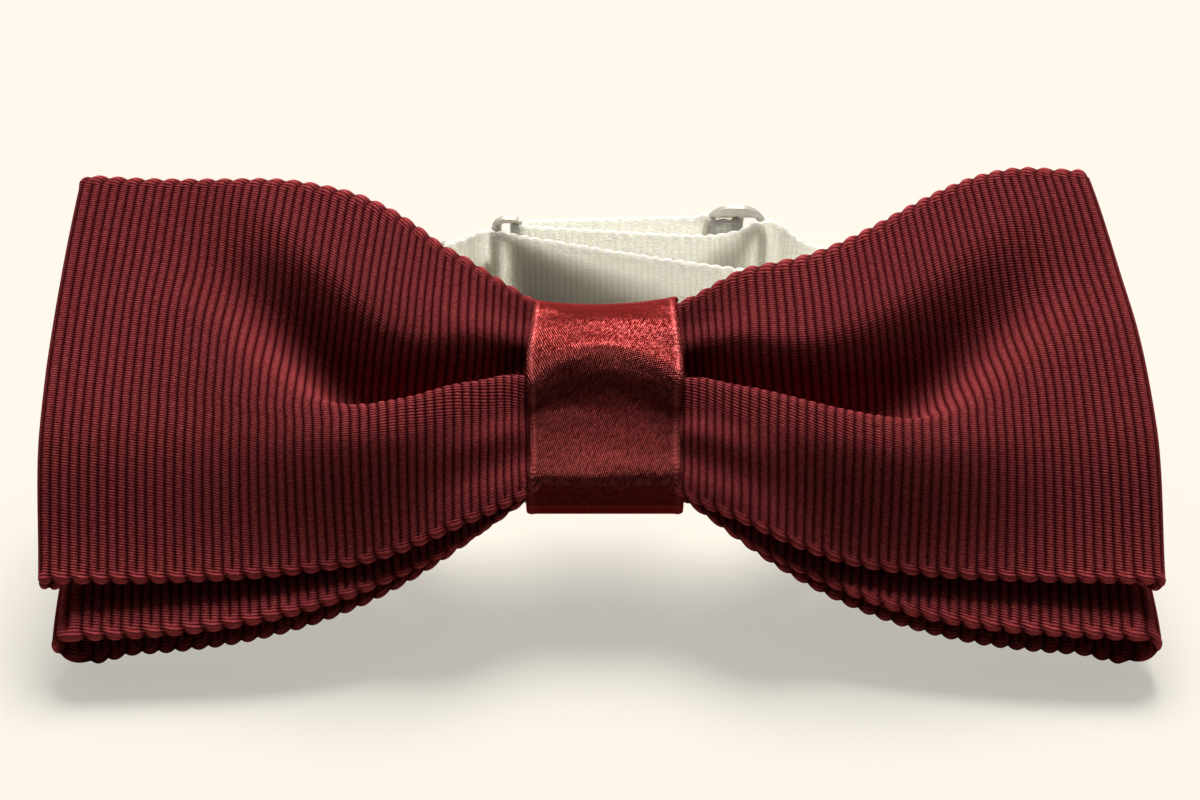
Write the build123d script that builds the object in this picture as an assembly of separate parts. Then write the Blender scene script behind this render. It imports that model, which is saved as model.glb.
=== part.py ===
from build123d import *
import math
import os

os.makedirs("parts", exist_ok=True)

# ---------------------------------------------------------------- driving dimensions (mm)
BOW_W = 120.0            # front bow, fold to fold
BOW_RIBBON = 50.0        # width of the grosgrain the bows are made of
BACK_SHORT = 3.0         # the back bow is this much shorter at each end
PLY = 0.8                # ribbon wall of the bows and the knot
PINCH_H = 17.6           # height of the bows where the knot gathers them
LEAN = 62.0              # lean of the bow plane from the vertical, degrees

KNOT_W = 16.0            # satin ribbon width
KNOT_H = 24.4            # knot, top to bottom
KNOT_V = 1.3             # the knot sits this far above the middle of the gathers
KNOT_FRONT = 2.8         # knot depth in front of and behind the bow plane
KNOT_BACK = 6.2

BAND_W = 14.6            # neck band ribbon, nominally 15
BAND_T = 0.6
BAND_N = -4.9            # where the neck band passes through the knot, behind the bow plane

BAR_D = 1.0              # round bars that the band is folded over
BAR_FIT = 0.05           # radial play of a fold on its bar
METAL_T = 1.0            # stamped sheet
SLIDER_L = 8.3
SLIDER_H = 17.6
SLIDER_RIM = 1.3
HOOK_FRAME_L = 4.6
HOOK_H = 16.0
TONGUE_W = 6.0
TONGUE_L = 8.0
THROAT = 1.2             # gap between the tongue and its turned-back lip
RING_L = 6.2
RING_H = 16.8
RING_WIRE = 1.2

BAND_V = -2.0            # the band sits this far below the middle of the knot
HOOK_Z = 8.05            # mid heights of the hook, the slider and the eye ring
SLIDER_Z = 8.85
RING_Z = 8.4
HOOK_BAR = (-10.9, 49.1)
SLIDER_BAR = (16.7, 49.1)
RING_BAR = (31.5, 32.3)
HOOK_REST = 4.0         # the hook points this far to the back of the band line, degrees

# ---------------------------------------------------------------- the leaning bow plane
S = math.sin(math.radians(LEAN))
C = math.cos(math.radians(LEAN))
BACK_SIT_V = 25.3        # lower corner of the back bow, the point it stands on
BACK_SIT_N = 8.6
HC = BACK_SIT_V * C + BACK_SIT_N * S
bow_plane = Plane(origin=(0, 0, HC), x_dir=(1, 0, 0), z_dir=(0, -C, S))


def ease(t):
    t = min(1.0, max(0.0, t))
    return t * t * (3 - 2 * t)


def half_height(a):
    return PINCH_H / 2 + (BOW_RIBBON / 2 - PINCH_H / 2) * ease((a - 6.0) / 38.0)


def front_faces(a):
    end = BOW_W / 2
    swell = ease((a - 8.0) / 12.0)
    thin = ease((a - 22.0) / (end - 22.0))
    front = 1.4 + 3.8 * swell - 1.8 * thin
    back = -1.2 - 1.2 * swell + 2.0 * thin
    return back, front


def back_faces(a):
    end = BOW_W / 2 - BACK_SHORT
    swell = ease((a - 8.0) / 20.0)
    tip = ease((a - 44.0) / (end - 44.0))
    front = -1.4 - 2.0 * swell - 1.8 * tip
    back = -4.0 - 4.6 * swell + 1.0 * tip
    return back, front


def bow_loop(faces, half_width, drop):
    """A flattened ribbon loop, gathered at the middle, open along its top and bottom."""

    def section(x, inset, reach):
        a = abs(x)
        low, high = faces(a)
        mid = -drop * ease((a - 7.0) / (half_width - 7.0))
        h = half_height(a) + reach
        plane = Plane(origin=(x, mid, (low + high) / 2), x_dir=(0, 1, 0), z_dir=(1, 0, 0))
        return plane * Rectangle(2 * h, high - low - 2 * inset)

    steps = 9
    xs = [9.0 + (half_width - 9.0) * k / steps for k in range(steps + 1)]
    stations = [-x for x in reversed(xs)] + [-7.0, 7.0] + xs
    body = loft([section(x, 0, 0) for x in stations], ruled=True)
    inner_end = half_width - PLY
    room = [15.0 + (inner_end - 15.0) * k / steps for k in range(steps + 1)]
    for side in (-1, 1):
        hollow = loft([section(side * x, PLY * 0.9, 2.0) for x in room], ruled=True)
        body = body - hollow
    return body


front_bow = bow_loop(front_faces, BOW_W / 2, -2.2)
back_bow = bow_loop(back_faces, BOW_W / 2 - BACK_SHORT, 0.3)

# ---------------------------------------------------------------- knot and what binds it
knot_mid = (KNOT_FRONT - KNOT_BACK) / 2
knot_depth = KNOT_FRONT + KNOT_BACK
across = Plane(origin=(-KNOT_W / 2, KNOT_V, knot_mid), x_dir=(0, 1, 0), z_dir=(1, 0, 0))
knot_outer = across * RectangleRounded(KNOT_H, knot_depth, 2.6)
knot_inner = across * RectangleRounded(KNOT_H - 2 * PLY, knot_depth - 2 * PLY, 1.9)
knot_wrap = extrude(knot_outer - knot_inner, KNOT_W)

binding_plane = Plane(origin=(-1.5, 0, -1.3), x_dir=(0, 1, 0), z_dir=(1, 0, 0))
binding_outer = binding_plane * RectangleRounded(PINCH_H + 0.9, 6.1, 0.8)
binding_inner = binding_plane * RectangleRounded(PINCH_H + 0.1, 5.5, 0.1)
binding_thread = extrude(binding_outer - binding_inner, 3.0)

knot_tack = Pos(0, -5.5, -KNOT_BACK - 0.17) * Box(10.0, 1.0, 0.3)

to_bow = bow_plane.location
front_bow = to_bow * front_bow
back_bow = to_bow * back_bow
knot_wrap = to_bow * knot_wrap
binding_thread = to_bow * binding_thread
knot_tack = to_bow * knot_tack


# ---------------------------------------------------------------- neck band
def smooth_path(knots, per):
    """Catmull-Rom points through rows of x, y, mid height and tilt of the width."""
    rows = [knots[0]] + knots + [knots[-1]]
    path = []
    for i in range(1, len(rows) - 2):
        p0, p1, p2, p3 = rows[i - 1], rows[i], rows[i + 1], rows[i + 2]
        for k in range(per):
            t = k / per
            path.append(
                tuple(
                    0.5
                    * (
                        2 * b
                        + (c - a) * t
                        + (2 * a - 5 * b + 4 * c - d) * t * t
                        + (3 * b - a - 3 * c + d) * t**3
                    )
                    for a, b, c, d in zip(p0, p1, p2, p3)
                )
            )
    path.append(tuple(knots[-1]))
    return path


def strap(path, width, thick):
    """A flat ribbon swept along a path, as a ruled loft through its cross-sections."""
    sections = []
    for i, (x, y, z, tilt) in enumerate(path):
        before = path[max(0, i - 1)]
        after = path[min(len(path) - 1, i + 1)]
        along = Vector(after[0] - before[0], after[1] - before[1], after[2] - before[2])
        wide = Vector(0, math.sin(math.radians(tilt)), math.cos(math.radians(tilt)))
        wide = (wide - along.normalized() * wide.dot(along.normalized())).normalized()
        plane = Plane(origin=(x, y, z), x_dir=wide, z_dir=along)
        sections.append(plane * Rectangle(width, thick))
    return loft(sections, ruled=True)


def behind_knot(n, v=0.0):
    """Table position of a point v up and n out of the bow plane."""
    return v * S - n * C, HC + v * C + n * S


knot_y, knot_z = behind_knot(BAND_N, BAND_V)
out_y, out_z = behind_knot(-7.9, BAND_V)
fold_r = BAR_D / 2 + BAR_FIT + BAND_T / 2


def fold(bar, mid_z, start, end):
    """The turn a band makes round an upright bar, from one heading to another, degrees."""
    outer = Circle(BAR_D / 2 + BAR_FIT + BAND_T)
    inner = Circle(BAR_D / 2 + BAR_FIT)
    ring = Pos(bar[0], bar[1], mid_z - BAND_W / 2) * extrude(outer - inner, BAND_W)
    keep = Pos(bar[0], bar[1], mid_z) * Rot(0, 0, (start + end) / 2) * Pos(5, 0, 0) * Box(10, 10, 20)
    return ring & keep


eye_dir = Vector(29.7, -10.8, 0).normalized()
eye_angle = math.degrees(math.atan2(eye_dir.Y, eye_dir.X))
side = Vector(-eye_dir.Y, eye_dir.X, 0)
ring_c = Vector(RING_BAR[0], RING_BAR[1], 0)
eye_end = ring_c - side * fold_r


def near_end(back, mid_z):
    """A band position this far back along its straight run to the eye ring."""
    at = eye_end - eye_dir * back
    return [(at.X, at.Y, mid_z, 0)]


left = [
    (-9.5, knot_y, knot_z, LEAN),
    (-17, out_y + 0.6, out_z - 0.5, LEAN - 2),
    (-27, 9.4, 9.2, 42),
    (-38, 13.4, 8.0, 14),
    (-47, 18.5, 7.4, 0),
    (-49.5, 26, 7.4, 0),
    (-44, 33.5, 7.4, 0),
    (-31, 39.2, 7.4, 0),
    (-19.7, 44.3, 7.4, 0),
    (-15.7, 47.7, 7.4, 0),
    *near_end(48.0, 7.4),
    *near_end(41.0, 7.4),
    *near_end(24.0, 7.6),
    *near_end(6.0, RING_Z),
    *near_end(0.0, RING_Z),
]
p4_start = (HOOK_BAR[0], HOOK_BAR[1] - fold_r)
right = [
    (9.5, knot_y, knot_z, LEAN),
    (17, out_y + 0.6, out_z - 0.5, LEAN - 2),
    (27, 9.4, 9.2, 42),
    (38, 13.4, 8.0, 14),
    (48, 18.5, 7.4, 0),
    (51.5, 27, 7.4, 0),
    (46, 34.5, 7.4, 0),
    (33, 39.6, 7.7, 0),
    (25.4, 42.8, 8.2, 0),
    (21.8, 47.2, SLIDER_Z, 0),
    (19.5, 47.6, SLIDER_Z, 0),
    (16.5, 45.7, 8.5, 0),
    (11.8, 45.2, 8.2, 0),
    (0, 46.7, 8.1, 0),
    (p4_start[0], p4_start[1], HOOK_Z, 0),
]
middle = [(-9.5, knot_y, knot_z, LEAN), (9.5, knot_y, knot_z, LEAN)]
run = list(reversed(smooth_path(left, 4)))[:-1] + smooth_path(middle, 2) + smooth_path(right, 4)[1:]
neck_band = strap(run, BAND_W, BAND_T)

eye_fold = fold(RING_BAR, RING_Z, eye_angle, eye_angle)
eye_return_mid = ring_c + side * fold_r - eye_dir * 2.6
eye_return = (
    Pos(eye_return_mid.X, eye_return_mid.Y, RING_Z) * Rot(0, 0, eye_angle) * Box(5.2, BAND_T, BAND_W)
)
hook_fold = fold(HOOK_BAR, HOOK_Z, 180, 180)
neck_band = neck_band + eye_fold + eye_return + hook_fold

# the doubled layer behind, from the hook fold to the end fold on the slider's bar
back_y = HOOK_BAR[1] + fold_r
RETURN_START = HOOK_BAR[0] + 0.05
RETURN_END = SLIDER_BAR[0] - SLIDER_L / 2 - 0.35
adjuster_return = Pos((RETURN_START + RETURN_END) / 2, back_y, (HOOK_Z + SLIDER_Z) / 2) * Box(
    RETURN_END - RETURN_START, BAND_T, BAND_W
)

# end of the band, folded round the slider's bar and sewn to itself
end_fold = fold(SLIDER_BAR, SLIDER_Z, 0, 0)
tail_back = Pos(SLIDER_BAR[0] - 2.07, SLIDER_BAR[1] + fold_r, SLIDER_Z) * Box(4.14, BAND_T, BAND_W)
tail_front = Pos(SLIDER_BAR[0] - 1.75, SLIDER_BAR[1] - fold_r, SLIDER_Z) * Box(3.5, BAND_T, BAND_W)
adjuster_end = end_fold + tail_back + tail_front

# ---------------------------------------------------------------- metal parts
slider_plane = Plane(origin=(SLIDER_BAR[0], SLIDER_BAR[1], SLIDER_Z), x_dir=(1, 0, 0), z_dir=(0, -1, 0))
plate = extrude(RectangleRounded(SLIDER_L, SLIDER_H, 3.6), METAL_T / 2, both=True)
opening = extrude(RectangleRounded(SLIDER_L - 2 * SLIDER_RIM, BAND_W + 0.4, 0.8), METAL_T, both=True)
plate = plate - opening
plate = plate + Rot(90, 0, 0) * Cylinder(BAR_D / 2, BAND_W + 0.9)
slider = slider_plane.location * plate

hook_outline = Pos(-1.2, 0) * RectangleRounded(HOOK_FRAME_L, HOOK_H, 1.9)
hook_frame = extrude(hook_outline, METAL_T / 2, both=True)
hook_hole = extrude(Pos(-0.55, 0) * RectangleRounded(3.3, BAND_W + 0.3, 0.6), METAL_T, both=True)
tongue_shape = Pos(-3.2 - TONGUE_L / 2, 0) * RectangleRounded(TONGUE_L, TONGUE_W, 1.5)
tongue = extrude(tongue_shape, METAL_T / 2, both=True)
lip_shape = Pos(-3.2 - TONGUE_L + 2.6, 0) * RectangleRounded(5.2, TONGUE_W, 1.5)
lip = extrude(lip_shape, METAL_T / 2, both=True)
lip = Pos(0, 0, -METAL_T - THROAT) * lip
bend_x = -3.2 - TONGUE_L + 0.5
turn_z = -(METAL_T + THROAT) / 2
bend = Rot(90, 0, 0) * (Cylinder(THROAT / 2 + METAL_T, TONGUE_W - 1.6) - Cylinder(THROAT / 2, TONGUE_W))
bend = Pos(bend_x, 0, turn_z) * bend
bend = bend & (Pos(bend_x - 2.5, 0, turn_z) * Box(5, 20, 6))
tongue_cut = Pos(bend_x - 2.5, 0, 0) * Box(5, 20, 12)
hook_body = (hook_frame - hook_hole) + (tongue - tongue_cut) + (lip - tongue_cut) + bend
hook_body = hook_body + Rot(90, 0, 0) * Cylinder(BAR_D / 2, BAND_W + 0.9)
hook_body = hook_body - Pos(0.95, 0, 0) * Box(0.9, BAND_W + 0.3, 3)
hook_plane = Plane(origin=(HOOK_BAR[0], HOOK_BAR[1], HOOK_Z), x_dir=(1, 0, 0), z_dir=(0, -1, 0))
hook = hook_plane.location * (Rot(0, -HOOK_REST, 0) * hook_body)

ring_shape = RectangleRounded(RING_L - RING_WIRE, RING_H - RING_WIRE, 0.5)
ring_outline = Pos(RING_L / 2 - RING_WIRE / 2, 0) * ring_shape
ring_path = ring_outline.face().outer_wire()
start = ring_path @ 0
start_dir = ring_path % 0
ring_wire = sweep(Plane(origin=start, z_dir=start_dir) * Circle(BAR_D / 2), path=ring_path)
eye_plane = Plane(origin=(RING_BAR[0], RING_BAR[1], RING_Z), x_dir=eye_dir, z_dir=side * -1)
eye_ring = eye_plane.location * (Pos(RING_WIRE / 2 - 0.6, 0, 0) * ring_wire)

eye_tack_at = ring_c - side * (fold_r + BAND_T / 2 + 0.15) - eye_dir * 3.4
eye_tack = Pos(eye_tack_at.X, eye_tack_at.Y, RING_Z) * Rot(0, 0, eye_angle) * Box(1.0, 0.2, BAND_W - 3)
slider_tack = Pos(SLIDER_BAR[0] - 1.9, SLIDER_BAR[1] + fold_r + BAND_T / 2 + 0.12, SLIDER_Z) * Box(
    0.9, 0.2, BAND_W - 3
)

# ---------------------------------------------------------------- stand the part on its origin
nodes = {
    "front_bow": front_bow,
    "back_bow": back_bow,
    "binding_thread": binding_thread,
    "knot_wrap": knot_wrap,
    "knot_tack": knot_tack,
    "neck_band": neck_band,
    "eye_tack": eye_tack,
    "adjuster_return": adjuster_return,
    "adjuster_end": adjuster_end,
    "slider_tack": slider_tack,
    "slider": slider,
    "hook": hook,
    "eye_ring": eye_ring,
}
box = Compound(children=[Compound(list(s.solids())) for s in nodes.values()]).bounding_box()
shift = Pos(-(box.min.X + box.max.X) / 2, -(box.min.Y + box.max.Y) / 2, -box.min.Z)

for name, shape in nodes.items():
    solids = [shift * s for s in shape.solids()]
    shape_out = solids[0] if len(solids) == 1 else Compound(solids)
    shape_out.label = name
    export_step(shape_out, f"parts/{name}.step")
    b = shape_out.bounding_box()
    print(name, len(solids), [round(v, 2) for v in (*b.min, *b.max)])
print("shift", tuple(shift.position))
print("hc", HC, "eye angle", eye_angle)
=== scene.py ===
import bpy
import math
import numpy as np
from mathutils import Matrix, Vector


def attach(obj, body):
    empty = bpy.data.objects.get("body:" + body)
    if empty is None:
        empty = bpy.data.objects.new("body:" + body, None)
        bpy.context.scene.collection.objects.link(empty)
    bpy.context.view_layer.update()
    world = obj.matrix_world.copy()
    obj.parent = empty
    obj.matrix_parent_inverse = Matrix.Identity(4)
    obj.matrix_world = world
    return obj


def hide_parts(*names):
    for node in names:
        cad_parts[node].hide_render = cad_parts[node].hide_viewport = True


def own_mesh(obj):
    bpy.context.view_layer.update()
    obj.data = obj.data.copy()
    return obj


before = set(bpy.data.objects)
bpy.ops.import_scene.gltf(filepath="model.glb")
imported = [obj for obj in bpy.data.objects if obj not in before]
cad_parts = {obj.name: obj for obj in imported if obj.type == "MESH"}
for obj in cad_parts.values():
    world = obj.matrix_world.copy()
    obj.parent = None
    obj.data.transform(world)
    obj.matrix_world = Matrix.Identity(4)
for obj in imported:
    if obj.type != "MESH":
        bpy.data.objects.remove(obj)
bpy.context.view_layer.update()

# All lengths are in mm until they reach Blender, which takes metres.
MM = 0.001
LEAN = math.radians(62.0)      # how far the bow leans back from upright
S, C = math.sin(LEAN), math.cos(LEAN)
HC = 19.471                    # height of the bow's centre above the paper
SHY, SHZ = -15.009, -0.050     # from the drawing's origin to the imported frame's
UV_MM = 100.0                  # mm of ribbon in one unit of its UV map

BOW_HALF = 25.0                # half widths of the three ribbons
KNOT_HALF = 8.0
BAND_HALF = 7.25
BOW_PITCH = 0.98               # from rib to rib
BAND_PITCH = 0.8


# ------------------------------------------------------------ small helpers
def ease(t):
    t = np.clip(t, 0.0, 1.0)
    return t * t * (3 - 2 * t)


def erf(x):
    """The error function, by its usual five-term approximation."""
    sign = np.sign(x)
    x = np.abs(x)
    t = 1 / (1 + 0.3275911 * x)
    poly = (((1.061405429 * t - 1.453152027) * t) + 1.421413741) * t - 0.284496736
    return sign * (1 - (poly * t + 0.254829592) * t * np.exp(-x * x))


def unit(a):
    """Vectors along the last axis brought to length one."""
    return a / np.maximum(np.linalg.norm(a, axis=-1, keepdims=True), 1e-9)


def between(a, b, c, d, t):
    """A smooth curve from b to c that also heeds their neighbours a and d."""
    return 0.5 * (2 * b + (c - a) * t + (2 * a - 5 * b + 4 * c - d) * t * t
                  + (3 * b - a - 3 * c + d) * t**3)


def across(w, count):
    """The ribbon's lines, repeated for each of count samples along it."""
    return np.repeat(w[None, :], count, 0)


def link_object(name, data):
    ob = bpy.data.objects.new(name, data)
    bpy.context.scene.collection.objects.link(ob)
    return ob


def bow_space(x, v, n):
    """Points given by side, height up the bow and distance in front of its plane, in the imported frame."""
    return np.stack([x + 0 * v, v * S - n * C + SHY, HC + v * C + n * S + SHZ], -1)


def rib_samples(length, pitch):
    """Places along a ribbon, six to a rib, with a whole number of ribs in its length."""
    phases = np.array([0.0, 0.1, 0.3, 0.5, 0.7, 0.9])
    ribs = int(round(length / pitch))
    pitch = length / ribs
    s = (np.arange(ribs)[:, None] + phases[None, :]).ravel() * pitch
    return np.append(s, length), pitch


def width_rows(half, step):
    """Places across a ribbon, closer together at its two selvedges."""
    edge = np.array([0.0, 0.06, 0.2, 0.42, 0.7, 1.1])
    flat = half - 1.6
    inner = np.linspace(-flat, flat, int(round(2 * flat / step)) + 1)
    return np.concatenate([-half + edge, inner, (half - edge)[::-1]])


def build(name, verts, faces, uv, attrs, mat):
    """A smooth mesh object from arrays, with one UV map and a value on each point per attribute."""
    me = bpy.data.meshes.new(name)
    faces = np.asarray(faces, np.int32)
    me.vertices.add(len(verts))
    me.vertices.foreach_set("co", (np.asarray(verts, np.float32) * MM).ravel())
    me.loops.add(faces.size)
    me.loops.foreach_set("vertex_index", faces.ravel())
    me.polygons.add(len(faces))
    me.polygons.foreach_set("loop_start", np.arange(len(faces), dtype=np.int32) * faces.shape[1])
    me.update(calc_edges=True)
    me.validate()
    layer = me.uv_layers.new(name="UVMap")
    idx = np.empty(len(me.loops), np.int32)
    me.loops.foreach_get("vertex_index", idx)
    layer.data.foreach_set("uv", np.asarray(uv, np.float32)[idx].ravel())
    for key, values in attrs.items():
        a = me.attributes.new(key, "FLOAT", "POINT")
        a.data.foreach_set("value", np.asarray(values, np.float32))
    me.polygons.foreach_set("use_smooth", np.ones(len(me.polygons), bool))
    me.materials.append(mat)
    return link_object(name, me)


def two_sided(name, A, B, s, w, rib, edge, mat):
    """Close the space between two grids of the same shape into one mesh."""
    I, J = A.shape[:2]
    verts = np.concatenate([A.reshape(-1, 3), B.reshape(-1, 3)])
    idx = np.arange(I * J).reshape(I, J)
    a, b, c, d = idx[:-1, :-1], idx[1:, :-1], idx[1:, 1:], idx[:-1, 1:]
    front = np.stack([a, b, c, d], -1).reshape(-1, 4)
    back = np.stack([a, d, c, b], -1).reshape(-1, 4) + I * J
    rim = []
    for row, flip in ((idx[:, 0], 0), (idx[:, -1], 1), (idx[0, :], 1), (idx[-1, :], 0)):
        q = np.stack([row[:-1], row[:-1] + I * J, row[1:] + I * J, row[1:]], -1)
        rim.append(q[:, ::-1] if flip else q)
    faces = np.concatenate([front, back] + rim)
    u = np.repeat(s[:, None], J, 1)
    uv = np.stack([u, across(w, I)], -1).reshape(-1, 2) / UV_MM
    # rib carries the mask for the painted shade between the ribs, edge the mask for the painted highlight
    # on the selvedge beads
    return build(name, verts, faces, np.concatenate([uv, uv]),
                 {"rib": np.tile(rib.ravel(), 2), "edge": np.tile(edge.ravel(), 2)}, mat)


def grosgrain(name, P, s, w, pitch, mat, thick=0.34, height=0.18, loop=0.42):
    """A ribbed ribbon on a mid-surface P[s, w], with a loop of its selvedge to every second rib."""
    N = unit(np.cross(np.gradient(P, axis=0), np.gradient(P, axis=1)))
    W = unit(np.gradient(P, axis=1))
    phase = s / pitch
    rib = np.abs(np.sin(np.pi * phase)) ** 0.6
    depth = np.abs(w).max() - np.abs(w)
    turn = phase[:, None] / 2 + 0.18 * np.sign(w)[None, :] + 0.32 * depth[None, :] * (depth < 1.1)
    lumps = np.abs(np.sin(np.pi * turn)) ** 0.7
    reach = np.clip(1 - depth / 0.95, 0, 1) ** 0.6
    out = (np.sign(w) * np.clip(1 - depth / 0.9, 0, 1) ** 0.8)[None, :] * lumps * loop
    bead = np.clip(depth / 0.42, 0, 1)
    bead = np.sqrt(1 - (1 - bead) ** 2)
    puff = 0.24 * np.exp(-((depth - 0.42) / 0.36) ** 2)
    T = (thick / 2 + height * rib[:, None] * (1 - 0.7 * reach[None, :])) * (0.12 + 0.88 * bead[None, :])
    T = T + puff[None, :] * (lumps - 0.25)
    Q = P + W * out[..., None]
    # mask for painted light: where it is low, painted shade darkens the grooves between ribs and the
    # notches between selvedge beads
    shade = rib[:, None] * (1 - reach[None, :]) + reach[None, :] * lumps
    # mask for the painted highlight on the tops of the selvedge beads
    bead_highlight_mask = reach[None, :] * lumps**1.5
    return two_sided(name, Q + N * T[..., None], Q - N * T[..., None], s, w, shade, bead_highlight_mask, mat)


THREAD_SIDES = 8


def tube(points, radius):
    """Verts and side faces of a round thread that thins at both ends."""
    t = unit(np.gradient(points, axis=0))
    a = unit(np.cross(t, np.array([0.3, 0.2, 0.93])))
    b = np.cross(t, a)
    r = np.full(len(points), radius)
    r[0] = r[-1] = radius * 0.35
    ang = np.linspace(0, 2 * np.pi, THREAD_SIDES, endpoint=False)
    round_it = np.cos(ang)[None, :, None] * a[:, None] + np.sin(ang)[None, :, None] * b[:, None]
    ring = points[:, None] + r[:, None, None] * round_it
    idx = np.arange(len(points) * THREAD_SIDES).reshape(len(points), THREAD_SIDES)
    nxt = np.roll(idx, -1, 1)
    faces = np.stack([idx[:-1], nxt[:-1], nxt[1:], idx[1:]], -1).reshape(-1, 4)
    return ring.reshape(-1, 3), faces


def threads(name, lines, radius, mat):
    """One object of capped threads, each along its own line of points."""
    k = THREAD_SIDES
    verts, polys, base = [], [], 0
    for line in lines:
        v, sides = tube(line, radius)
        n = len(v)
        first, last = np.arange(k), np.arange(n - k, n)
        caps = [[r, n, q] for r, q in zip(np.roll(first, -1), first)]
        caps += [[r, n + 1, q] for r, q in zip(last, np.roll(last, -1))]
        polys += [[int(i) + base for i in face] for face in list(sides) + caps]
        verts.append(np.concatenate([v, [v[:k].mean(0), v[-k:].mean(0)]]))
        base += n + 2
    me = bpy.data.meshes.new(name)
    me.from_pydata([tuple(x) for x in (np.concatenate(verts) * MM)], [], polys)
    me.polygons.foreach_set("use_smooth", np.ones(len(me.polygons), bool))
    me.materials.append(mat)
    return link_object(name, me)


# ------------------------------------------------------------ materials
class Nodes:
    """A node material round one Principled shader, with short ways to add to it."""

    def __init__(self, name):
        self.mat = bpy.data.materials.new(name)
        self.mat.use_nodes = True
        self.t = self.mat.node_tree
        self.t.nodes.clear()
        self.b = self.t.nodes.new("ShaderNodeBsdfPrincipled")
        self.link(self.b.outputs[0], self.t.nodes.new("ShaderNodeOutputMaterial").inputs[0])

    def link(self, a, b):
        self.t.links.new(a, b)

    def node(self, kind, **props):
        n = self.t.nodes.new(kind)
        for k, v in props.items():
            setattr(n, k, v)
        return n

    def put(self, socket, value):
        if isinstance(value, bpy.types.NodeSocket):
            self.link(value, socket)
        else:
            socket.default_value = value

    def set(self, **values):
        """Fixed values for the shader's inputs, with _ for a space in an input's name."""
        for key, value in values.items():
            self.b.inputs[key.replace("_", " ")].default_value = value

    def math(self, op, a, b=0.0, c=0.0):
        n = self.node("ShaderNodeMath", operation=op)
        for i, v in enumerate((a, b, c)):
            self.put(n.inputs[i], v)
        return n.outputs[0]

    def clamp(self, a):
        return self.math("MINIMUM", self.math("MAXIMUM", a, 0.0), 1.0)

    def mix(self, fac, a, b, blend="MIX"):
        n = self.node("ShaderNodeMix", data_type="RGBA", blend_type=blend)
        self.put(n.inputs[0], fac)
        for i, v in ((6, a), (7, b)):
            self.put(n.inputs[i], v if not isinstance(v, tuple) else (*v, 1.0))
        return n.outputs[2]

    def attr(self, name):
        return self.node("ShaderNodeAttribute", attribute_name=name).outputs["Fac"]

    def coords(self, scale=(1, 1, 1)):
        tc = self.node("ShaderNodeTexCoord")
        mp = self.node("ShaderNodeMapping")
        mp.inputs["Scale"].default_value = scale
        self.link(tc.outputs["Object"], mp.inputs[0])
        return mp.outputs[0]

    def noise(self, scale, detail=3.0, vector=None, rough=0.5):
        n = self.node("ShaderNodeTexNoise")
        n.inputs["Scale"].default_value = scale
        n.inputs["Detail"].default_value = detail
        n.inputs["Roughness"].default_value = rough
        if vector is not None:
            self.link(vector, n.inputs["Vector"])
        return n.outputs["Fac"]

    def uv(self):
        sep = self.node("ShaderNodeSeparateXYZ")
        self.link(self.node("ShaderNodeTexCoord").outputs["UV"], sep.inputs[0])
        return sep.outputs[0], sep.outputs[1]

    def pair(self, x, y):
        both = self.node("ShaderNodeCombineXYZ")
        self.link(x, both.inputs[0])
        self.link(y, both.inputs[1])
        return both.outputs[0]

    def bump(self, height, distance, strength=1.0):
        n = self.node("ShaderNodeBump")
        n.inputs["Distance"].default_value = distance
        n.inputs["Strength"].default_value = strength
        self.link(height, n.inputs["Height"])
        self.link(n.outputs[0], self.b.inputs["Normal"])


def ribbed(name, deep, body, crest_highlight, bead_highlight, rough, sheen, spec, tint, glow):
    """Grosgrain: painted shade makes it dark between the ribs; painted highlight makes it lighter on them,
    lightest on single warp threads and light on the selvedge beads.
    """
    m = Nodes(name)
    u, v = m.uv()
    rib, edge = m.attr("rib"), m.attr("edge")
    grain = m.noise(3600.0, 3.0, m.coords())
    cloud = m.noise(60.0, 2.0, m.coords())
    # warp threads that cross each rib, about 0.3 mm apart, leaning a little
    slant = m.math("MULTIPLY_ADD", u, 160.0, m.math("MULTIPLY", v, 1050.0))
    warp = m.math("ABSOLUTE", m.math("SINE", slant))
    # painted shade: the colour falls to deep in the grooves between the ribs and in the notches between
    # selvedge beads
    col = m.mix(m.math("POWER", rib, 1.15), deep, body)
    # painted highlight: warp threads on the rib crests are lightened towards the highlight colour
    on_rib = m.math("MULTIPLY", warp, m.math("POWER", rib, 2.0))
    crest_highlight_mask = m.clamp(m.math("MULTIPLY", on_rib, m.math("MULTIPLY_ADD", grain, 1.9, -0.45)))
    col = m.mix(crest_highlight_mask, col, crest_highlight)
    # painted highlight: the selvedge bead tops are lightened towards the bead colour
    col = m.mix(m.math("MULTIPLY", edge, m.math("MULTIPLY_ADD", grain, 0.9, 0.2)), col, bead_highlight)
    # slow, faint changes of tone over the cloth
    level = m.math("MULTIPLY_ADD", cloud, 0.3, 0.82)
    tone = m.node("ShaderNodeCombineColor")
    for channel in range(3):
        m.link(level, tone.inputs[channel])
    m.link(m.mix(0.5, col, tone.outputs[0], "MULTIPLY"), m.b.inputs["Base Color"])
    m.set(Roughness=rough, Sheen_Weight=sheen, Sheen_Roughness=0.4)
    m.set(Specular_IOR_Level=spec, Specular_Tint=(*tint, 1))
    if glow:
        m.set(Subsurface_Weight=glow, Subsurface_Radius=(1.0, 0.94, 0.78), Subsurface_Scale=0.004)
    h = m.math("MULTIPLY_ADD", grain, 0.5, m.math("MULTIPLY", warp, 0.8))
    m.bump(h, 0.00011, 0.9)
    return m.mat


def thread_mat(name, color):
    m = Nodes(name)
    grain = m.noise(2600.0, 3.0, m.coords((1, 1, 0.4)))
    m.link(m.mix(grain, tuple(0.6 * c for c in color), color), m.b.inputs["Base Color"])
    m.set(Roughness=0.7, Sheen_Weight=0.2)
    m.bump(grain, 0.00005, 0.8)
    return m.mat


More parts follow.
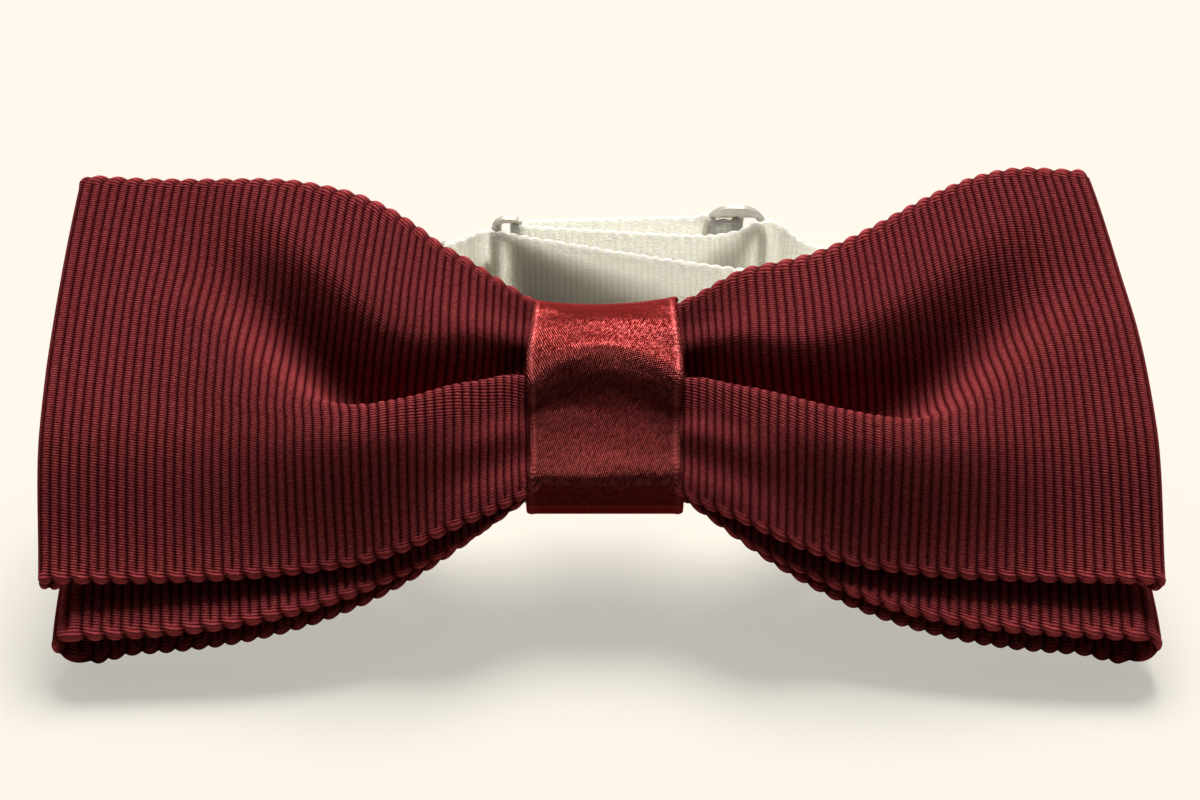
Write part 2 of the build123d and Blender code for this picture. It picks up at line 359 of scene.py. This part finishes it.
def satin_mat():
    """Satin: a tinted, broken gloss with slanting specks and a dashed line at each selvedge."""
    m = Nodes("burgundy_satin")
    u, v = m.uv()
    slant = m.pair(m.math("MULTIPLY_ADD", v, 0.35, u), m.math("MULTIPLY", v, 0.45))
    speck = m.noise(330.0, 2.0, slant, 0.7)
    long_way = m.pair(m.math("MULTIPLY_ADD", v, -0.25, u), m.math("MULTIPLY", v, 0.12))
    floats = m.noise(420.0, 3.0, long_way, 0.6)
    one = m.math("SINE", m.math("MULTIPLY_ADD", u, 2240.0, m.math("MULTIPLY", v, 900.0)))
    two = m.math("SINE", m.math("MULTIPLY_ADD", u, -700.0, m.math("MULTIPLY", v, 1900.0)))
    dots = m.math("MULTIPLY", one, two)
    sharp = m.clamp(m.math("MULTIPLY_ADD", speck, 1.9, m.math("MULTIPLY_ADD", dots, 0.85, -0.62)))
    col = m.mix(sharp, (0.022, 0.0026, 0.0032), (0.58, 0.112, 0.106))
    col = m.mix(m.math("MULTIPLY", floats, 0.4), col, (0.060, 0.008, 0.009))
    col = m.mix(m.attr("dash"), col, (0.62, 0.14, 0.14))
    m.link(col, m.b.inputs["Base Color"])
    m.link(m.math("MULTIPLY_ADD", sharp, -0.04, 0.36), m.b.inputs["Roughness"])
    m.set(Metallic=1.0, Anisotropic=0.4, Specular_IOR_Level=0.0, Specular_Tint=(0.9, 0.10, 0.12, 1))
    m.bump(m.math("MULTIPLY_ADD", sharp, 0.7, m.math("MULTIPLY", floats, 0.4)), 0.00010, 1.0)
    return m.mat


def metal_mat():
    m = Nodes("bright_metal")
    marks = m.noise(500.0, 5.0, m.coords((1.0, 1.0, 6.0)))
    blot = m.noise(120.0, 3.0, m.coords())
    m.link(m.mix(blot, (0.66, 0.63, 0.54), (0.82, 0.79, 0.71)), m.b.inputs["Base Color"])
    m.set(Metallic=1.0)
    m.link(m.math("MULTIPLY_ADD", marks, 0.22, 0.12), m.b.inputs["Roughness"])
    m.bump(marks, 0.00003, 0.4)
    return m.mat


# deep is the painted shade between the ribs; the two lighter colours after body are painted highlights on
# the rib crests and on the selvedge beads
RED = ribbed("burgundy_grosgrain", deep=(0.024, 0.0026, 0.0034), body=(0.180, 0.018, 0.023),
             crest_highlight=(0.56, 0.108, 0.112), bead_highlight=(0.62, 0.088, 0.098),
             rough=0.6, sheen=0.0, spec=0.0, tint=(1.0, 0.25, 0.3), glow=0.0)
IVORY = ribbed("ivory_grosgrain", deep=(0.88, 0.84, 0.66), body=(0.97, 0.95, 0.83),
               crest_highlight=(0.99, 0.97, 0.90), bead_highlight=(0.99, 0.97, 0.92),
               rough=0.75, sheen=0.05, spec=0.2, tint=(1.0, 1.0, 1.0), glow=1.0)
SATIN = satin_mat()
RED_THREAD = thread_mat("thread", (0.26, 0.02, 0.035))
IVORY_THREAD = thread_mat("ivory_thread", (0.86, 0.82, 0.70))
METAL = metal_mat()


# ------------------------------------------------------------ the two ribbon bows
def spread(w, bunched):
    """Share of the visible height below each ribbon line, with the ribbon bunched at its middle."""
    wide = 7.0
    k = wide * math.sqrt(math.pi) / 2
    low_end, high_end = erf(-BOW_HALF / wide), erf(BOW_HALF / wide)
    at = w + BOW_HALF - bunched * k * (erf(w / wide) - low_end)
    return at / (2 * BOW_HALF - bunched * k * (high_end - low_end))


def through(x, *points):
    """A smooth line through a few x, value pairs."""
    px, pv = np.array(points[0::2], float), np.array(points[1::2], float)
    m = np.gradient(pv, px)
    k = np.clip(np.searchsorted(px, x) - 1, 0, len(px) - 2)
    h = px[k + 1] - px[k]
    t = np.clip((x - px[k]) / h, 0, 1)
    return (pv[k] * (1 + 2 * t) * (1 - t) ** 2 + m[k] * h * t * (1 - t) ** 2
            + pv[k + 1] * t * t * (3 - 2 * t) - m[k + 1] * h * t * t * (1 - t))


def front_outline(x, side):
    """Lower and upper hem, the lip's height, the lip's ribbon line and how far out the lip reaches."""
    low = -(9.0 + 12.1 * (1 - np.exp(-np.maximum(x - 5.5, 0) / 12.0)))
    if side < 0:
        top = through(x, 3.5, 9.4, 8, 12.0, 14.5, 14.6, 17.5, 16.5, 20, 18.7,
                      22.5, 20.6, 26, 22.6, 32, 24.4, 43, 25.7, 62, 26.8)
        lip_v = through(x, 4, 0.8, 9, -0.9, 13, -3.0, 17.5, -4.6, 22, -5.6, 28, -6.1, 36, -5.2, 62, -2.0)
        return low, top, lip_v, -6.0 + 12.0 * ease((x - 20) / 30), 34.0
    top = 11.4 + 2.6 * ease((x - 6) / 14) + 13.5 * ease((x - 16) / 32)
    top = top - 2.0 * (1 - ease((x - 3.5) / 5))
    lip_v = through(x, 4, 0.5, 9, -1.3, 14, -3.8, 20, -5.4, 27, -6.8, 34, -7.5, 42, -6.8, 62, -3.0)
    return low, top, lip_v, -6.0 + 9.0 * ease((x - 29) / 27), 42.0


def front_shape(x, w, side, flat=False):
    """The front bow's height v and distance forward n, at side distance x and ribbon line w.

    A lip stands forward under a deep valley and both fade with distance from the knot. With flat
    set, the lip and the valley are left out, for the layer at the back of the loop.
    """
    low, top, lip_v, wl, reach = front_outline(x, side)
    near = 1 - ease((x - 10) / (reach + 2))
    settle = 1 - ease((x - 16) / (reach - 4))
    t = w - wl

    def height(t):
        up = np.clip(t / (BOW_HALF - wl), 0, 1) ** (1 + 1.0 * near)
        down = np.clip(-t / (BOW_HALF + wl), 0, 1) ** (1 + 0.25 * near)
        even = low + (top - low) * (t + wl + BOW_HALF) / (2 * BOW_HALF)
        return even + (lip_v + (top - lip_v) * up - (lip_v - low) * down - even) * settle

    v = height(t)
    u = w / BOW_HALF
    n = 0.2 + 2.0 * ease((x - 7) / 9) + 0.8 * ease((x - 32) / 26)
    n = n + 1.0 * ease((x - 8) / 10) * (1 - ease((x - 34) / 26)) * (1 - u * u)
    if flat:
        return v, n
    fade = 1 - ease((x - 20) / reach)
    brow = 1 - ease((x - 15) / (reach * 0.6))
    rise = ease((x - 5) / 6)
    # the upper rim stands forward of the valley
    n = n + 2.3 * ease((w - 3) / 14) * ease((x - 7) / 9) * (1 - ease((x - 32) / 22))
    lip = np.exp(-((t / np.where(t > 0, 2.9, 14.0)) ** 2))
    lip = brow * lip + (1 - brow) * np.exp(-((t / np.where(t > 0, 6.5, 12.0)) ** 2))
    at = 4.4 + 2.0 * ease((x - 18) / 12)
    above = np.maximum(v - height(at), 0)
    under = np.exp(-(((t - at) / (2.6 + 3.6 * (1 - brow))) ** 2))
    valley = np.where(t > at, 1 - ease(above / (9.0 + 5.0 * (1 - brow))), under)
    n = n + 2.7 * rise * fade * lip - (1.4 + 4.2 * rise) * fade * valley * (1 - 0.7 * lip)
    v = v + 2.4 * brow * ease((x - 3) / 5) * np.exp(-((t / 2.6) ** 2))
    v = v - 0.7 * brow * np.exp(-(((t - 4.6) / 2.2) ** 2))
    # the lower hem turns back, small gathers leave the knot, and the sheet is held softly in front
    # of the loop's back layer
    n = n - 2.8 * (1 - ease((w + BOW_HALF) / 17)) * ease((x - 10) / 16)
    n = n + 0.25 * np.sin(w * 0.8 + 0.6) * (1 - ease((x - 9) / 12)) * ease((x - 6) / 2)
    n = n + 0.12 * np.sin(x * 0.21 + w * 0.13 + 2 * side)
    rear, soft = -1.2, 2.2
    return v, rear + np.logaddexp(0, soft * (n - rear)) / soft


def back_shape(x, w, side, flat=False):
    """The back bow's height and distance forward. It has no lip, so flat makes no difference."""
    top = 8.6 + 15.6 * ease((x - 8) / 33)
    low = -(8.8 + 17.8 * (1 - np.exp(-(np.maximum(x - 6, 0) / 16) ** 1.3)))
    v = low + (top - low) * spread(w, 0.7 * (1 - ease((x - 9) / 30)))
    u = w / BOW_HALF
    n = -3.0 - 0.4 * ease((x - 8) / 18) - 0.1 * ease((x - 38) / 18)
    n = n + 0.5 * ease((x - 8) / 12) * (1 - u * u) * (1 - ease((x - 40) / 14))
    n = n + 1.8 * (1 - ease((w + BOW_HALF) / 12)) * ease((x - 10) / 14)
    return v, n + 0.14 * np.sin(x * 0.19 + w * 0.1 + side)


START_X = 5.0                      # each half of a bow starts this far from its centre


def end_curve(w, top, mid, low):
    """Where the outer fold lies, from the ribbon's top edge through its middle to its lower edge."""
    u = w / BOW_HALF
    return mid + (top - low) / 2 * u + ((top + low) / 2 - mid) * u * u


def ribbon_lengths(shape, side, w, xs):
    """Distance along the front layer to each x, for each ribbon line."""
    X = np.repeat(xs[:, None], len(w), 1)
    v, n = shape(X, across(w, len(xs)), side)
    step = np.sqrt(np.diff(X, axis=0) ** 2 + np.diff(v, axis=0) ** 2 + np.diff(n, axis=0) ** 2)
    cum = np.concatenate([np.zeros((1, len(w))), np.cumsum(step, 0)])
    # the weave shears only a little, so neighbouring lines share most of their fullness
    near_w = np.exp(-(((w[:, None] - w[None, :]) / 4.5) ** 2)) * np.gradient(w)[:, None]
    return 0.25 * cum + 0.75 * (cum @ near_w) / near_w.sum(0)


def half_bow(shape, side, w, fold_x, start_back, gap, hem_lift):
    """One side of a loop, as x, v and n grids: out along the front, round the fold and back."""
    xs = np.linspace(START_X, 61.0, 480)
    cum = ribbon_lengths(shape, side, w, xs)
    lines = range(len(w))
    ends = np.array([np.interp(fold_x[j], xs, cum[:, j]) for j in lines])
    front = float(np.median(ends))
    turn = math.pi * float(gap.mean())
    rear = 55.0
    s, p = rib_samples(front + turn + rear, BOW_PITCH)
    on_front = s[s < front]
    on_turn = s[(s >= front) & (s < front + turn)]
    on_rear = s[s >= front + turn]
    # each line gives an equal share of its own length to every rib, so ribs fan out from the knot
    xf = np.stack([np.interp(on_front / front * ends[j], cum[:, j], xs) for j in lines], 1)
    vf, nf = shape(xf, across(w, len(on_front)), side)
    ve, ne = shape(fold_x[None, :], w[None, :], side)
    angle = (on_turn - front)[:, None] / turn * math.pi
    xt = fold_x[None, :] + gap[None, :] * np.sin(angle)
    vt = np.repeat(ve, len(on_turn), 0)
    nt = ne - gap[None, :] + gap[None, :] * np.cos(angle)
    tau = 1 - (on_rear - front - turn)[:, None] / rear
    xb = START_X + (fold_x[None, :] - START_X) * tau
    vb, _ = shape(xb, across(w, len(on_rear)), side, True)
    v1, _ = shape(fold_x[None, :], w[None, :], side, True)
    vb = vb + (ve - v1) * ease((tau - 0.7) / 0.3)
    vb = vb + hem_lift * (1 - ease((tau - 0.9) / 0.1)) * np.clip(-w[None, :] / BOW_HALF, 0, 1)
    belly = 0.5 * np.sin(np.pi * np.clip(tau, 0, 1)) * (1 - (w[None, :] / BOW_HALF) ** 2)
    nb = start_back + (ne - 2 * gap[None, :] - start_back) * ease(tau * 1.15) - belly
    x, v, n = (np.concatenate(rows) for rows in ((xf, xt, xb), (vf, vt, vb), (nf, nt, nb)))
    return s, p, (side * x, v, n)


def bow(name, shape, folds, start_back, gap, hem_lift):
    """One ribbon laid as a loop: back middle, left fold, front middle, right fold, back middle."""
    w = width_rows(BOW_HALF, 0.8)
    left, right = (half_bow(shape, side, w, end_curve(w, *fold), start_back, gap(w), hem_lift)
                   for side, fold in zip((-1, 1), folds))
    middle = 9.8                   # ribbon between the two halves, under the knot
    s = np.concatenate([-left[0][::-1], middle + right[0]])
    grids = [np.concatenate([a[::-1], b]) for a, b in zip(left[2], right[2])]
    ob = grosgrain(name, bow_space(*grids), s, w, right[1], RED)
    return ob, float(left[0][-1] + right[0][-1] + middle)


front, front_len = bow(
    "front_bow_ribbon",
    front_shape,
    folds=((56.6, 57.1, 55.7), (52.3, 55.2, 55.1)),
    start_back=-2.2,
    gap=lambda w: 1.3 - 0.5 * np.clip(-w / BOW_HALF, 0, 1),
    hem_lift=4.5,
)
back, back_len = bow(
    "back_bow_ribbon",
    back_shape,
    folds=((54.6, 54.4, 52.3), (51.8, 53.6, 52.7)),
    start_back=-4.2,
    gap=lambda w: 1.2 + 1.75 * np.clip(-w / BOW_HALF, 0, 1),
    hem_lift=0.8,
)
for ob, node, length in ((front, "front_bow", front_len), (back, "back_bow", back_len)):
    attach(ob, "bow")
    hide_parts(node)


# ------------------------------------------------------------ satin knot
# the wrap's outline at its middle, as height v and distance forward n, from the top of its back
KNOT_OUTLINE = [
    (11.4, -5.8), (13.0, -4.3), (13.6, -2.3), (12.4, -0.1), (9.4, 2.0), (6.4, 3.3), (3.8, 4.2),
    (1.8, 3.4), (-0.8, 1.9), (-3.6, 1.75), (-7.0, 1.65), (-9.2, 1.2), (-10.1, 0.5), (-10.3, -0.8),
    (-10.5, -2.2), (-10.7, -3.6), (-10.3, -5.4), (-8.2, -6.2), (-4.0, -6.2), (0.0, -6.2), (5.0, -6.2),
]


def closed_curve(points, per):
    """A smooth closed curve through points, with per samples from each to the next."""
    p = np.asarray(points, float)
    n = len(p)
    return np.array([between(p[i - 1], p[i], p[(i + 1) % n], p[(i + 2) % n], k / per)
                     for i in range(n) for k in range(per)])


def knot_surface(xs):
    """The wrap's mid-surface: a dip in its top edge and a fold that arches over its front."""
    prof = closed_curve(KNOT_OUTLINE, 14)
    V = across(prof[:, 0], len(xs))
    Nn = across(prof[:, 1], len(xs))
    X = np.repeat(xs[:, None], len(prof), 1)
    f = X / KNOT_HALF
    upper = np.exp(-(((V - 12.0) / 3.0) ** 2)) * (Nn > -3.5)
    V = V - 0.95 * upper * (1 - f * f) + 0.25 * upper * f
    V = V - 3.3 * f * f * np.exp(-(((V - 3.5) / 5.0) ** 2)) * ease(Nn - 0.8)
    Nn = Nn + 0.12 * np.sin(V * 0.8 + X * 0.35) * (Nn > 0)
    X = X * (1 + 0.03 * np.sin(V * 0.33 + 0.8) * (Nn > 0) + 0.025 * ease((-V - 9.6) / 0.6))
    return X, V, Nn


def knot():
    """The satin ribbon once round the gathered middles, with a dashed line near each selvedge."""
    edge = KNOT_HALF - np.array([0.0, 0.03, 0.15, 0.35])
    xs = np.concatenate([-edge, np.arange(-7.4, 7.41, 0.2), edge[::-1]])
    X, V, Nn = knot_surface(xs)
    M = bow_space(X, V, Nn)
    dx = np.gradient(M, axis=0)
    dp = np.roll(M, -1, 1) - np.roll(M, 1, 1)
    N = unit(np.cross(dp, dx))
    centre = M.mean(axis=(0, 1))
    if ((M - centre) * N).sum(-1).mean() < 0:
        N = -N
    step = np.linalg.norm(np.roll(M, -1, 1) - M, axis=-1).mean(0)
    along = np.concatenate([[0], np.cumsum(step)[:-1]])
    depth = KNOT_HALF - np.abs(xs)
    bead = np.sqrt(np.clip(1 - (1 - np.clip(depth / 0.35, 0, 1)) ** 2, 0, 1))
    lump = np.abs(np.sin(np.pi * along / 0.48))[None, :]
    row = np.exp(-((depth - 0.55) / 0.2) ** 2)[:, None]
    T = 0.3 * (0.15 + 0.85 * bead)[:, None] + 0.07 * row * lump
    A = M + N * T[..., None]
    B = M - N * T[..., None] * 0.9
    I, J = M.shape[:2]
    idx = np.arange(I * J).reshape(I, J)
    nx = np.roll(idx, -1, 1)
    outer = np.stack([idx[:-1], idx[1:], nx[1:], nx[:-1]], -1).reshape(-1, 4)
    inner = outer[:, ::-1] + I * J
    rim0 = np.stack([idx[0], nx[0], nx[0] + I * J, idx[0] + I * J], -1)
    rim1 = np.stack([idx[-1], idx[-1] + I * J, nx[-1] + I * J, nx[-1]], -1)
    faces = np.concatenate([outer, inner, rim0, rim1])
    if np.einsum("ijk,ijk->", N, np.cross(dx, dp)) < 0:
        faces = faces[:, ::-1]
    uv = np.stack([X, across(along, I)], -1).reshape(-1, 2) / UV_MM
    hem = np.exp(-(((Nn + 3.2) / 0.2) ** 2)) * (V < -9) * np.sin(np.pi * X / 0.5) ** 2
    dash = np.maximum(row * lump**2, 0.8 * hem).ravel()
    ob = build("knot_satin", np.concatenate([A.reshape(-1, 3), B.reshape(-1, 3)]), faces,
               np.concatenate([uv, uv]), {"dash": np.tile(dash, 2)}, SATIN)
    return ob, float(along[-1] + step[-1])


knot_ob, knot_len = knot()
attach(knot_ob, "bow")
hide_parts("knot_wrap")

# thread wound five times round the gathered middles, as a rounded rectangle
t = np.linspace(0, 2 * np.pi * 5, 361)
ring_v = np.clip(1.6 * np.cos(t), -1, 1) * 8.5
ring_n = np.clip(1.6 * np.sin(t), -1, 1) * 2.3 - 1.6
turns = bow_space(-1.1 + 2.2 * t / t[-1], ring_v, ring_n)
winding = threads("binding_thread_turns", [turns], 0.16, RED_THREAD)
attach(winding, "bow")
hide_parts("binding_thread")

# a row of nine stitches that closes the knot at its back
q = np.linspace(0, 1, 9)
stitches = [bow_space(-4.6 + 1.15 * k + 0.25 * q, -6.1 + 1.2 * q, -6.38 - 0.22 * np.sin(np.pi * q))
            for k in range(9)]
tack = threads("knot_stitches", stitches, 0.13, RED_THREAD)
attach(tack, "bow")
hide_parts("knot_tack")


# ------------------------------------------------------------ neck band
# heights of the three folds' middles, and their bars' places on the paper
HOOK_Z, SLIDER_Z, RING_Z = 8.05, 8.85, 8.4
HOOK_BAR = np.array([-10.9, 49.1])
SLIDER_BAR = np.array([16.7, 49.1])
RING_BAR = np.array([31.5, 32.3])
FOLD_R = 0.85                      # from a bar's middle to the ribbon's middle
eye_dir = np.array([29.7, -10.8])  # the band's direction where it reaches the eye ring
eye_dir /= np.linalg.norm(eye_dir)
eye_side = np.array([-eye_dir[1], eye_dir[0]])
eye_end = RING_BAR - eye_side * FOLD_R


def near_end(back, z):
    """A band point this far back from the eye ring's fold."""
    at = eye_end - eye_dir * back
    return (at[0], at[1], z, 0)


def smooth_path(knots, per=10):
    """A smooth open path through rows of x, y, z and tilt."""
    k = np.array([knots[0]] + list(knots) + [knots[-1]], float)
    rows = [between(*k[i - 1:i + 3], t) for i in range(1, len(k) - 2) for t in np.arange(per) / per]
    return np.array(rows + [k[-1]])


def half_turn(bar, a0, a1, z):
    """The half turn of a band round a bar."""
    steps = 14
    a = np.radians(np.linspace(a0, a1, steps))
    x, y = bar[0] + FOLD_R * np.cos(a), bar[1] + FOLD_R * np.sin(a)
    return np.stack([x, y, np.full(steps, z), np.zeros(steps)], 1)


def knot_point(n, v=-2.0):
    """y and z of a point in the bow's own plane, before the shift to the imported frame."""
    return v * S - n * C, HC + v * C + n * S


ky, kz = knot_point(-4.9)
oy, oz = knot_point(-7.9)
# the band's path on each side of the knot, as x, y, z and the ribbon's tilt in degrees
left = [(-9.5, ky, kz, 62), (-17, oy + 0.6, oz - 0.5, 60), (-27, 9.4, 9.2, 42), (-38, 13.4, 8.0, 14),
        (-47, 18.5, 7.4, 0), (-49.5, 26, 7.4, 0), (-44, 33.5, 7.4, 0), (-31, 39.2, 7.4, 0),
        (-19.7, 44.3, 7.4, 0), (-15.7, 47.7, 7.4, 0), near_end(48.0, 7.4), near_end(41.0, 7.4),
        near_end(24.0, 7.6), near_end(6.0, RING_Z), near_end(0.0, RING_Z)]
right = [(9.5, ky, kz, 62), (17, oy + 0.6, oz - 0.5, 60), (27, 9.4, 9.2, 42), (38, 13.4, 8.0, 14),
         (48, 18.5, 7.4, 0), (51.5, 27, 7.4, 0), (46, 34.5, 7.4, 0), (33, 39.6, 7.7, 0),
         (25.4, 42.8, 8.2, 0), (21.8, 47.2, SLIDER_Z, 0), (19.5, 47.6, SLIDER_Z, 0),
         (16.5, 45.7, 8.5, 0), (11.8, 45.2, 8.2, 0), (0, 46.7, 8.1, 0),
         (HOOK_BAR[0], HOOK_BAR[1] - FOLD_R, HOOK_Z, 0)]
ang = math.degrees(math.atan2(eye_dir[1], eye_dir[0]))
tail = RING_BAR + eye_side * FOLD_R
line = np.concatenate([
    np.array([(*(tail - eye_dir * 5.2), RING_Z, 0), (*(tail - eye_dir * 0.2), RING_Z, 0)]),
    half_turn(RING_BAR, ang + 90, ang - 90, RING_Z),
    smooth_path(left)[::-1][1:-1],
    smooth_path(right),
    half_turn(HOOK_BAR, 270, 90, HOOK_Z)[1:],
])


def band(name, line, half=BAND_HALF):
    """Ivory grosgrain along a line of x, y, z and tilt, and its length."""
    seg = np.linalg.norm(np.diff(line[:, :3], axis=0), axis=1)
    cum = np.concatenate([[0], np.cumsum(seg)])
    s, p = rib_samples(cum[-1], BAND_PITCH)
    q = np.stack([np.interp(s, cum, line[:, k]) for k in range(4)], 1)
    t = unit(np.gradient(q[:, :3], axis=0))
    tilt = np.radians(q[:, 3])
    wide = np.stack([0 * tilt, np.sin(tilt), np.cos(tilt)], 1)
    wide = unit(wide - t * (wide * t).sum(1, keepdims=True))
    w = width_rows(half, 0.6)
    P = q[:, None, :3] + wide[:, None] * w[None, :, None]
    P = P + np.array([0, SHY, SHZ])
    ob = grosgrain(name, P, s, w, p, IVORY, thick=0.2, height=0.13, loop=0.26)
    return ob, float(cum[-1])


neck, neck_len = band("neck_band_ribbon", line)
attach(neck, "bow")
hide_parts("neck_band")

# the doubled part, from the hook's bar to the ribbon end, a little narrower to clear the hook
by = HOOK_BAR[1] + FOLD_R
return_line = np.array([(HOOK_BAR[0] - 0.1, by, HOOK_Z, 0), (12.4, by, 8.7, 0)])
ret, ret_len = band("adjuster_return_ribbon", return_line, half=7.0)
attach(ret, "bow")
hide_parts("adjuster_return")
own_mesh(ret)

end_line = np.concatenate([
    np.array([(12.5, by, 8.7, 0), (SLIDER_BAR[0] - 0.1, by, SLIDER_Z, 0)]),
    half_turn(SLIDER_BAR, 90, -90, SLIDER_Z),
    np.array([(SLIDER_BAR[0] - 3.5, SLIDER_BAR[1] - FOLD_R, SLIDER_Z, 0)]),
])
end_ob, end_len = band("adjuster_end_ribbon", end_line)
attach(end_ob, "adjuster")
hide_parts("adjuster_end")


def bar_tack(centre, along, outward, mid):
    """Sixteen zigzag stitches up one face of a doubled band."""
    q = np.linspace(-0.5, 0.5, 9)
    out = FOLD_R + 0.2 + 0.16 * np.cos(np.pi * q)
    x = centre[0] + along[0] * q * 1.1 + outward[0] * out
    y = centre[1] + SHY + along[1] * q * 1.1 + outward[1] * out
    return [np.stack([x, y, mid - 5.6 + 0.74 * k + 0.5 * (k % 2 * 2 - 1) * q + SHZ], 1)
            for k in range(16)]


tack_at = RING_BAR - eye_dir * 3.4
eye_lines = bar_tack(tack_at, eye_dir, -eye_side, RING_Z) + bar_tack(tack_at, eye_dir, eye_side, RING_Z)
eye_st = threads("eye_bartack_stitches", eye_lines, 0.12, IVORY_THREAD)
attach(eye_st, "bow")
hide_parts("eye_tack")
slider_lines = bar_tack(SLIDER_BAR - np.array([1.9, 0.0]), (1, 0), (0, 1), SLIDER_Z)
sl_st = threads("slider_bartack_stitches", slider_lines, 0.12, IVORY_THREAD)
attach(sl_st, "adjuster")
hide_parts("slider_tack")

# ------------------------------------------------------------ metal: CAD solids with softened edges
METAL_PARTS = (("slider", "adjuster", 0.00028), ("hook", "hook", 0.00022), ("eye_ring", "eye", 0.0))
for node, body, width in METAL_PARTS:
    src = bpy.data.objects[node]
    ob = src.copy()
    ob.data = src.data.copy()
    ob.name = node + "_metal"
    # the copy must not pass for the CAD solid itself
    for key in [k for k in ob.keys() if k.startswith("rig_")]:
        del ob[key]
    bpy.context.scene.collection.objects.link(ob)
    world = src.matrix_world.copy()
    ob.parent = None
    ob.matrix_world = world
    ob.data.materials.clear()
    ob.data.materials.append(METAL)
    ob.hide_render = False
    ob.hide_viewport = False
    if width:
        bev = ob.modifiers.new("soft", "BEVEL")
        bev.width = width
        bev.segments = 3
        bev.limit_method = "ANGLE"
        bev.angle_limit = math.radians(40)
    ob.data.polygons.foreach_set("use_smooth", np.ones(len(ob.data.polygons), bool))
    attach(ob, body)
    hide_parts(node)

# ------------------------------------------------------------ floor, light and camera
# The camera sees brighter paper than other rays do, so that the light the paper throws back
# leaves the valleys dark.
floor_mat = Nodes("pale_floor")
cloud = floor_mat.noise(8.0, 2.0, floor_mat.coords())
seen = floor_mat.node("ShaderNodeLightPath").outputs["Is Camera Ray"]
paper = floor_mat.mix(cloud, (0.375, 0.356, 0.318), (0.395, 0.376, 0.338))
floor_mat.link(floor_mat.mix(seen, (0.40, 0.38, 0.335), paper), floor_mat.b.inputs["Base Color"])
floor_mat.link(floor_mat.math("MULTIPLY", seen, 0.48), floor_mat.b.inputs["Emission Strength"])
floor_mat.set(Emission_Color=(1.0, 0.965, 0.885, 1), Roughness=0.9, Specular_IOR_Level=0.0)
FLOOR = 6.0                        # half its side, m
me = bpy.data.meshes.new("floor")
corners = [(-FLOOR, -FLOOR, 0), (FLOOR, -FLOOR, 0), (FLOOR, FLOOR, 0), (-FLOOR, FLOOR, 0)]
me.from_pydata(corners, [], [(0, 1, 2, 3)])
me.materials.append(floor_mat.mat)
floor = link_object("floor", me)


def studio_world():
    """Dim light all round that grows stronger towards the far side, behind the bow."""
    world = bpy.data.worlds.new("studio")
    bpy.context.scene.world = world
    world.use_nodes = True
    tree = world.node_tree
    sky = tree.nodes["Background"]
    place = tree.nodes.new("ShaderNodeTexCoord")
    parts = tree.nodes.new("ShaderNodeSeparateXYZ")
    ramp = tree.nodes.new("ShaderNodeMapRange")
    tree.links.new(place.outputs["Generated"], parts.inputs[0])
    tree.links.new(parts.outputs[1], ramp.inputs[0])
    for name, value in (("From Min", -0.15), ("From Max", 1.0), ("To Min", 0.02), ("To Max", 0.80)):
        ramp.inputs[name].default_value = value
    tree.links.new(ramp.outputs[0], sky.inputs["Strength"])
    sky.inputs["Color"].default_value = (1.0, 0.965, 0.90, 1)


def sun(name, azimuth, elevation, spread_deg, strength, color):
    """A broad light from the far side, with its azimuth from straight behind the bow, in degrees."""
    light = bpy.data.lights.new(name, "SUN")
    light.angle = math.radians(spread_deg)
    light.energy = strength
    light.color = color
    a, e = math.radians(azimuth), math.radians(elevation)
    toward = Vector((math.sin(a) * math.cos(e), math.cos(a) * math.cos(e), math.sin(e)))
    link_object(name, light).rotation_euler = toward.to_track_quat("Z", "Y").to_euler()


def camera(elevation, distance, mm_across, sensor=36.0):
    """A camera that looks at the bow's centre and shows mm_across at that distance."""
    data = bpy.data.cameras.new("camera")
    data.sensor_width = sensor
    data.lens = distance * sensor / mm_across
    data.clip_start = 0.01
    cam = link_object("camera", data)
    aim = Vector((-0.0005, SHY * MM, (HC + SHZ) * MM))
    back_off = Vector((0, -math.cos(elevation), math.sin(elevation)))
    cam.location = aim + distance * MM * back_off
    cam.rotation_euler = (math.pi / 2 - elevation, 0, 0)
    bpy.context.scene.camera = cam


studio_world()
sun("key_behind", 4, 52, 28, 4.5, (1.0, 0.98, 0.93))
camera(elevation=math.radians(32.0), distance=210.0, mm_across=126.3158)
bpy.context.scene.view_settings.view_transform = "Standard"

print("lengths mm: front bow %.1f back bow %.1f knot %.1f band %.1f return %.1f end %.1f"
      % (front_len, back_len, knot_len, neck_len, ret_len, end_len))
